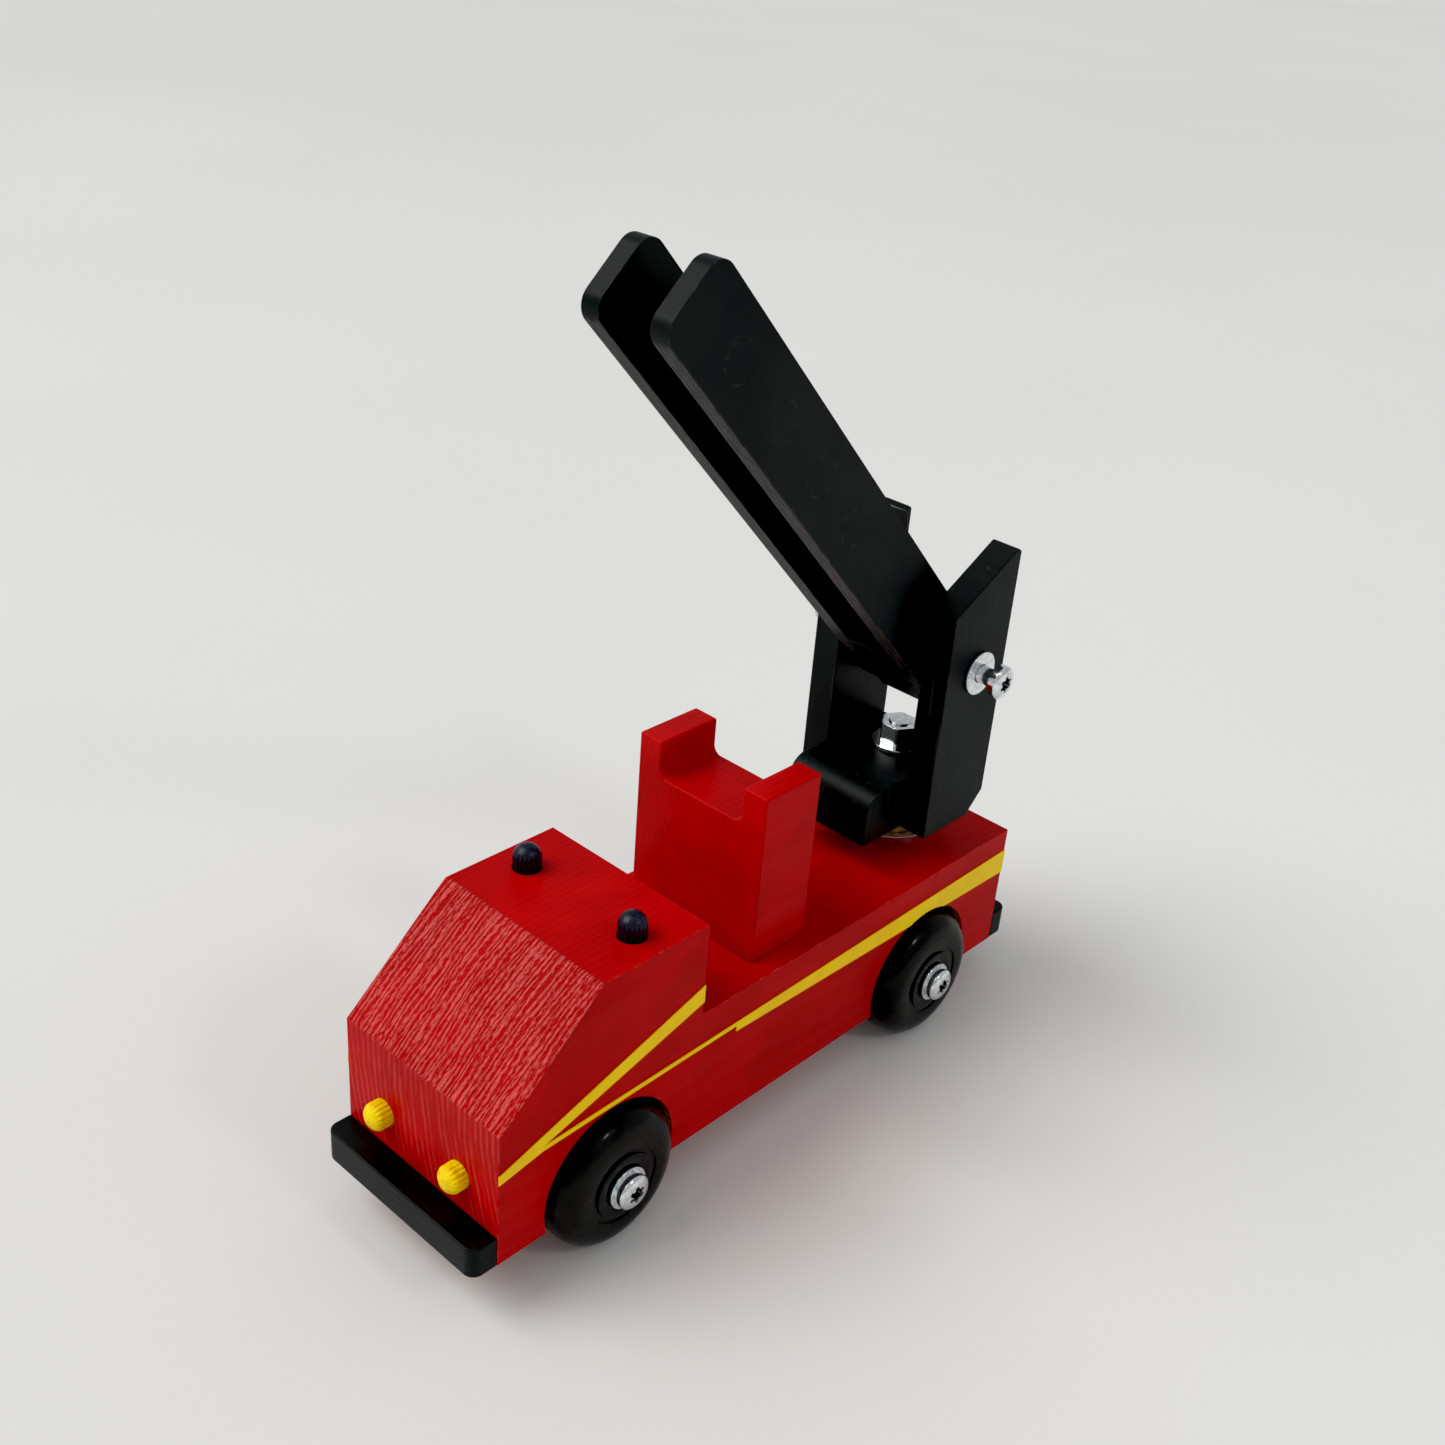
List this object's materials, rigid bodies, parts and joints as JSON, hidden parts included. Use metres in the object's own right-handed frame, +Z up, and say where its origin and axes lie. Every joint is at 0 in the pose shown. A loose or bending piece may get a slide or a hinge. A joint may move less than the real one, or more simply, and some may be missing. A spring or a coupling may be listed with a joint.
{
  "type": "toy fire engine",
  "caption": "Wooden toy fire engine with a sloped cab, wheels on screws, a notched ladder rest, and a tilting ladder boom on a swivelling turret.",
  "frame": {"origin": "on the ground, under the middle of the bounding box", "axes": "+Z up; the front of the engine faces -Y; +X is its left side, where the picture was taken from; the turret points straight forward and the boom is raised"},
  "size_m": [0.0604, 0.168, 0.1875],
  "materials": {
    "red_paint": "satin paint on planed timber, grain showing on the windscreen",
    "black_paint": "satin paint on wood",
    "wheel_black": "gloss paint on turned wood",
    "yellow_paint": "satin paint on a grooved wooden peg",
    "navy_paint": "satin paint on a grooved wooden peg",
    "yellow_tape": "satin adhesive strip",
    "bare_wood": "sanded, unpainted",
    "zinc_steel": "bright zinc plating"
  },
  "bodies": {
    "chassis": {"body": "red_paint", "stripe_left": "yellow_tape", "stripe_right": "yellow_tape", "front_bumper": "black_paint", "rear_bumper": "black_paint", "ladder_rest": "red_paint", "headlight_left": "yellow_paint", "headlight_right": "yellow_paint", "beacon_left": "navy_paint", "beacon_right": "navy_paint", "wheel_screws": "zinc_steel", "wheel_inner_washers": "zinc_steel", "wheel_outer_washers": "zinc_steel", "swivel_bolt": "zinc_steel", "swivel_bed_washer": "zinc_steel", "swivel_top_washer": "zinc_steel", "swivel_locknut": "zinc_steel"},
    "front_left_wheel": {"wheel_front_left": "wheel_black"},
    "front_right_wheel": {"wheel_front_right": "wheel_black"},
    "rear_left_wheel": {"wheel_rear_left": "wheel_black"},
    "rear_right_wheel": {"wheel_rear_right": "wheel_black"},
    "turret": {"turret_disc": "bare_wood", "turret_block": "black_paint", "cheek_left": "black_paint", "cheek_right": "black_paint", "pivot_outer_washers": "zinc_steel"},
    "boom": {"boom_rail_left": "black_paint", "boom_rail_right": "black_paint", "heel_block": "black_paint", "boom_spacer": "black_paint", "rung_1": "black_paint", "rung_2": "black_paint", "rung_3": "black_paint", "rung_4": "black_paint", "pivot_screws": "zinc_steel", "pivot_inner_washers": "zinc_steel"}
  },
  "joints": [
    {"name": "front_left_wheel_spin", "type": "hinge", "parent": "chassis", "child": "front_left_wheel", "pos_m": [0.0212, -0.0495, 0.0155], "axis": [1, 0, 0], "continuous": true},
    {"name": "front_right_wheel_spin", "type": "hinge", "parent": "chassis", "child": "front_right_wheel", "pos_m": [-0.0212, -0.0495, 0.0155], "axis": [1, 0, 0], "continuous": true},
    {"name": "rear_left_wheel_spin", "type": "hinge", "parent": "chassis", "child": "rear_left_wheel", "pos_m": [0.0212, 0.0485, 0.0155], "axis": [1, 0, 0], "continuous": true},
    {"name": "rear_right_wheel_spin", "type": "hinge", "parent": "chassis", "child": "rear_right_wheel", "pos_m": [-0.0212, 0.0485, 0.0155], "axis": [1, 0, 0], "continuous": true},
    {"name": "turret_swivel", "type": "hinge", "parent": "chassis", "child": "turret", "pos_m": [0, 0.06, 0.0545], "axis": [0, 0, 1], "continuous": true},
    {"name": "boom_tilt", "type": "hinge", "parent": "turret", "child": "boom", "pos_m": [0, 0.06, 0.0887], "axis": [1, 0, 0], "range_deg": [-43.5, 51.2]}
  ]
}
